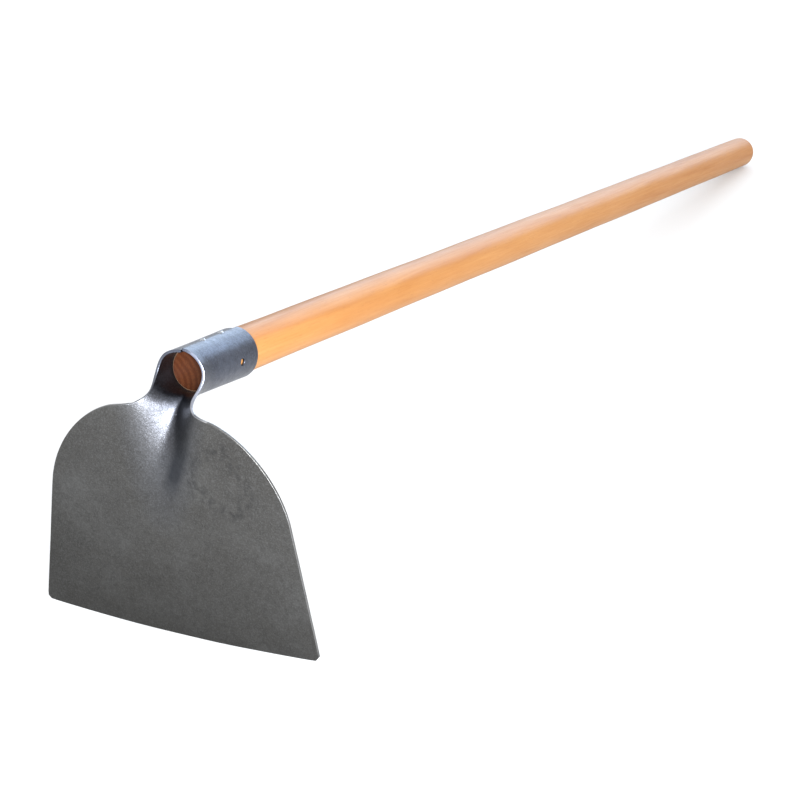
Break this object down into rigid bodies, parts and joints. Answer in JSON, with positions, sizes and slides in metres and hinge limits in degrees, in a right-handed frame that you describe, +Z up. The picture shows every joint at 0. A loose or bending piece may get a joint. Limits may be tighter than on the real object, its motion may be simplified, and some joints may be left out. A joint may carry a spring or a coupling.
{
  "type": "grub hoe",
  "caption": "Grub hoe: broad round-shouldered sheet-steel blade with a V-grooved neck rolled into a socket, on a long round wooden handle.",
  "frame": {"origin": "on the ground, under the middle of the hoe's box, with the hoe resting on its cutting edge and its handle's butt", "axes": "+X across the blade, +Y back along the handle as seen from above, +Z up; the handle slopes down to the butt by 7.9 degrees"},
  "size_m": [0.2116, 1.2478, 0.202],
  "materials": {
    "steel": "dark, matte, fine-grained mill finish with a bluish sheen on the bends",
    "wood": "light orange turned hardwood under satin varnish, red-brown bare end grain",
    "weld": "small rippled weld beads, brighter than the sheet"
  },
  "bodies": {
    "root": {"hoe_head": "steel", "handle": "wood", "seam_tack_front": "weld", "seam_tack_rear": "weld"}
  },
  "joints": []
}
